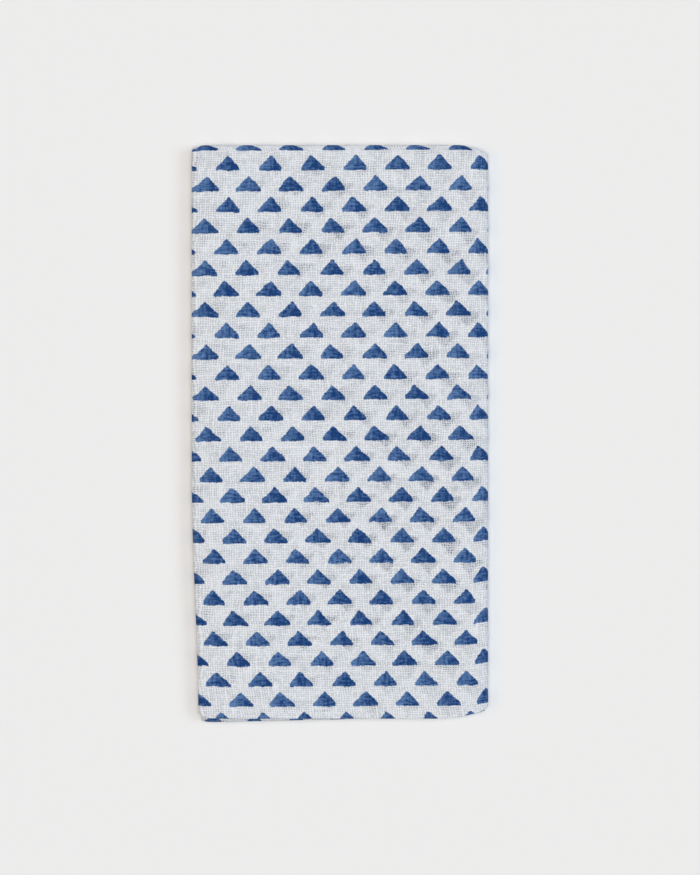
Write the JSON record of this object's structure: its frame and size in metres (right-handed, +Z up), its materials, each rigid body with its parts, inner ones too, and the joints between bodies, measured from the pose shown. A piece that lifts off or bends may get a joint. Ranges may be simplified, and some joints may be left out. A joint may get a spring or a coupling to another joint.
{
  "type": "folded handkerchief",
  "caption": "Thin open-weave cotton handkerchief with a small staggered triangle print, lying folded as a slim flat oblong.",
  "frame": {"origin": "middle of the packet's bounding box, on the surface that it lies on", "axes": "+X to the right of the printed face, +Y to the head of the face, where the fold is, +Z up out of the face"},
  "size_m": [0.1158, 0.2252, 0.0082],
  "materials": {
    "printed_cotton": "soft unbleached-white cotton in an open plain weave, with a repeat of small blue triangles"
  },
  "bodies": {
    "root": {"cloth": "printed_cotton"}
  },
  "joints": []
}
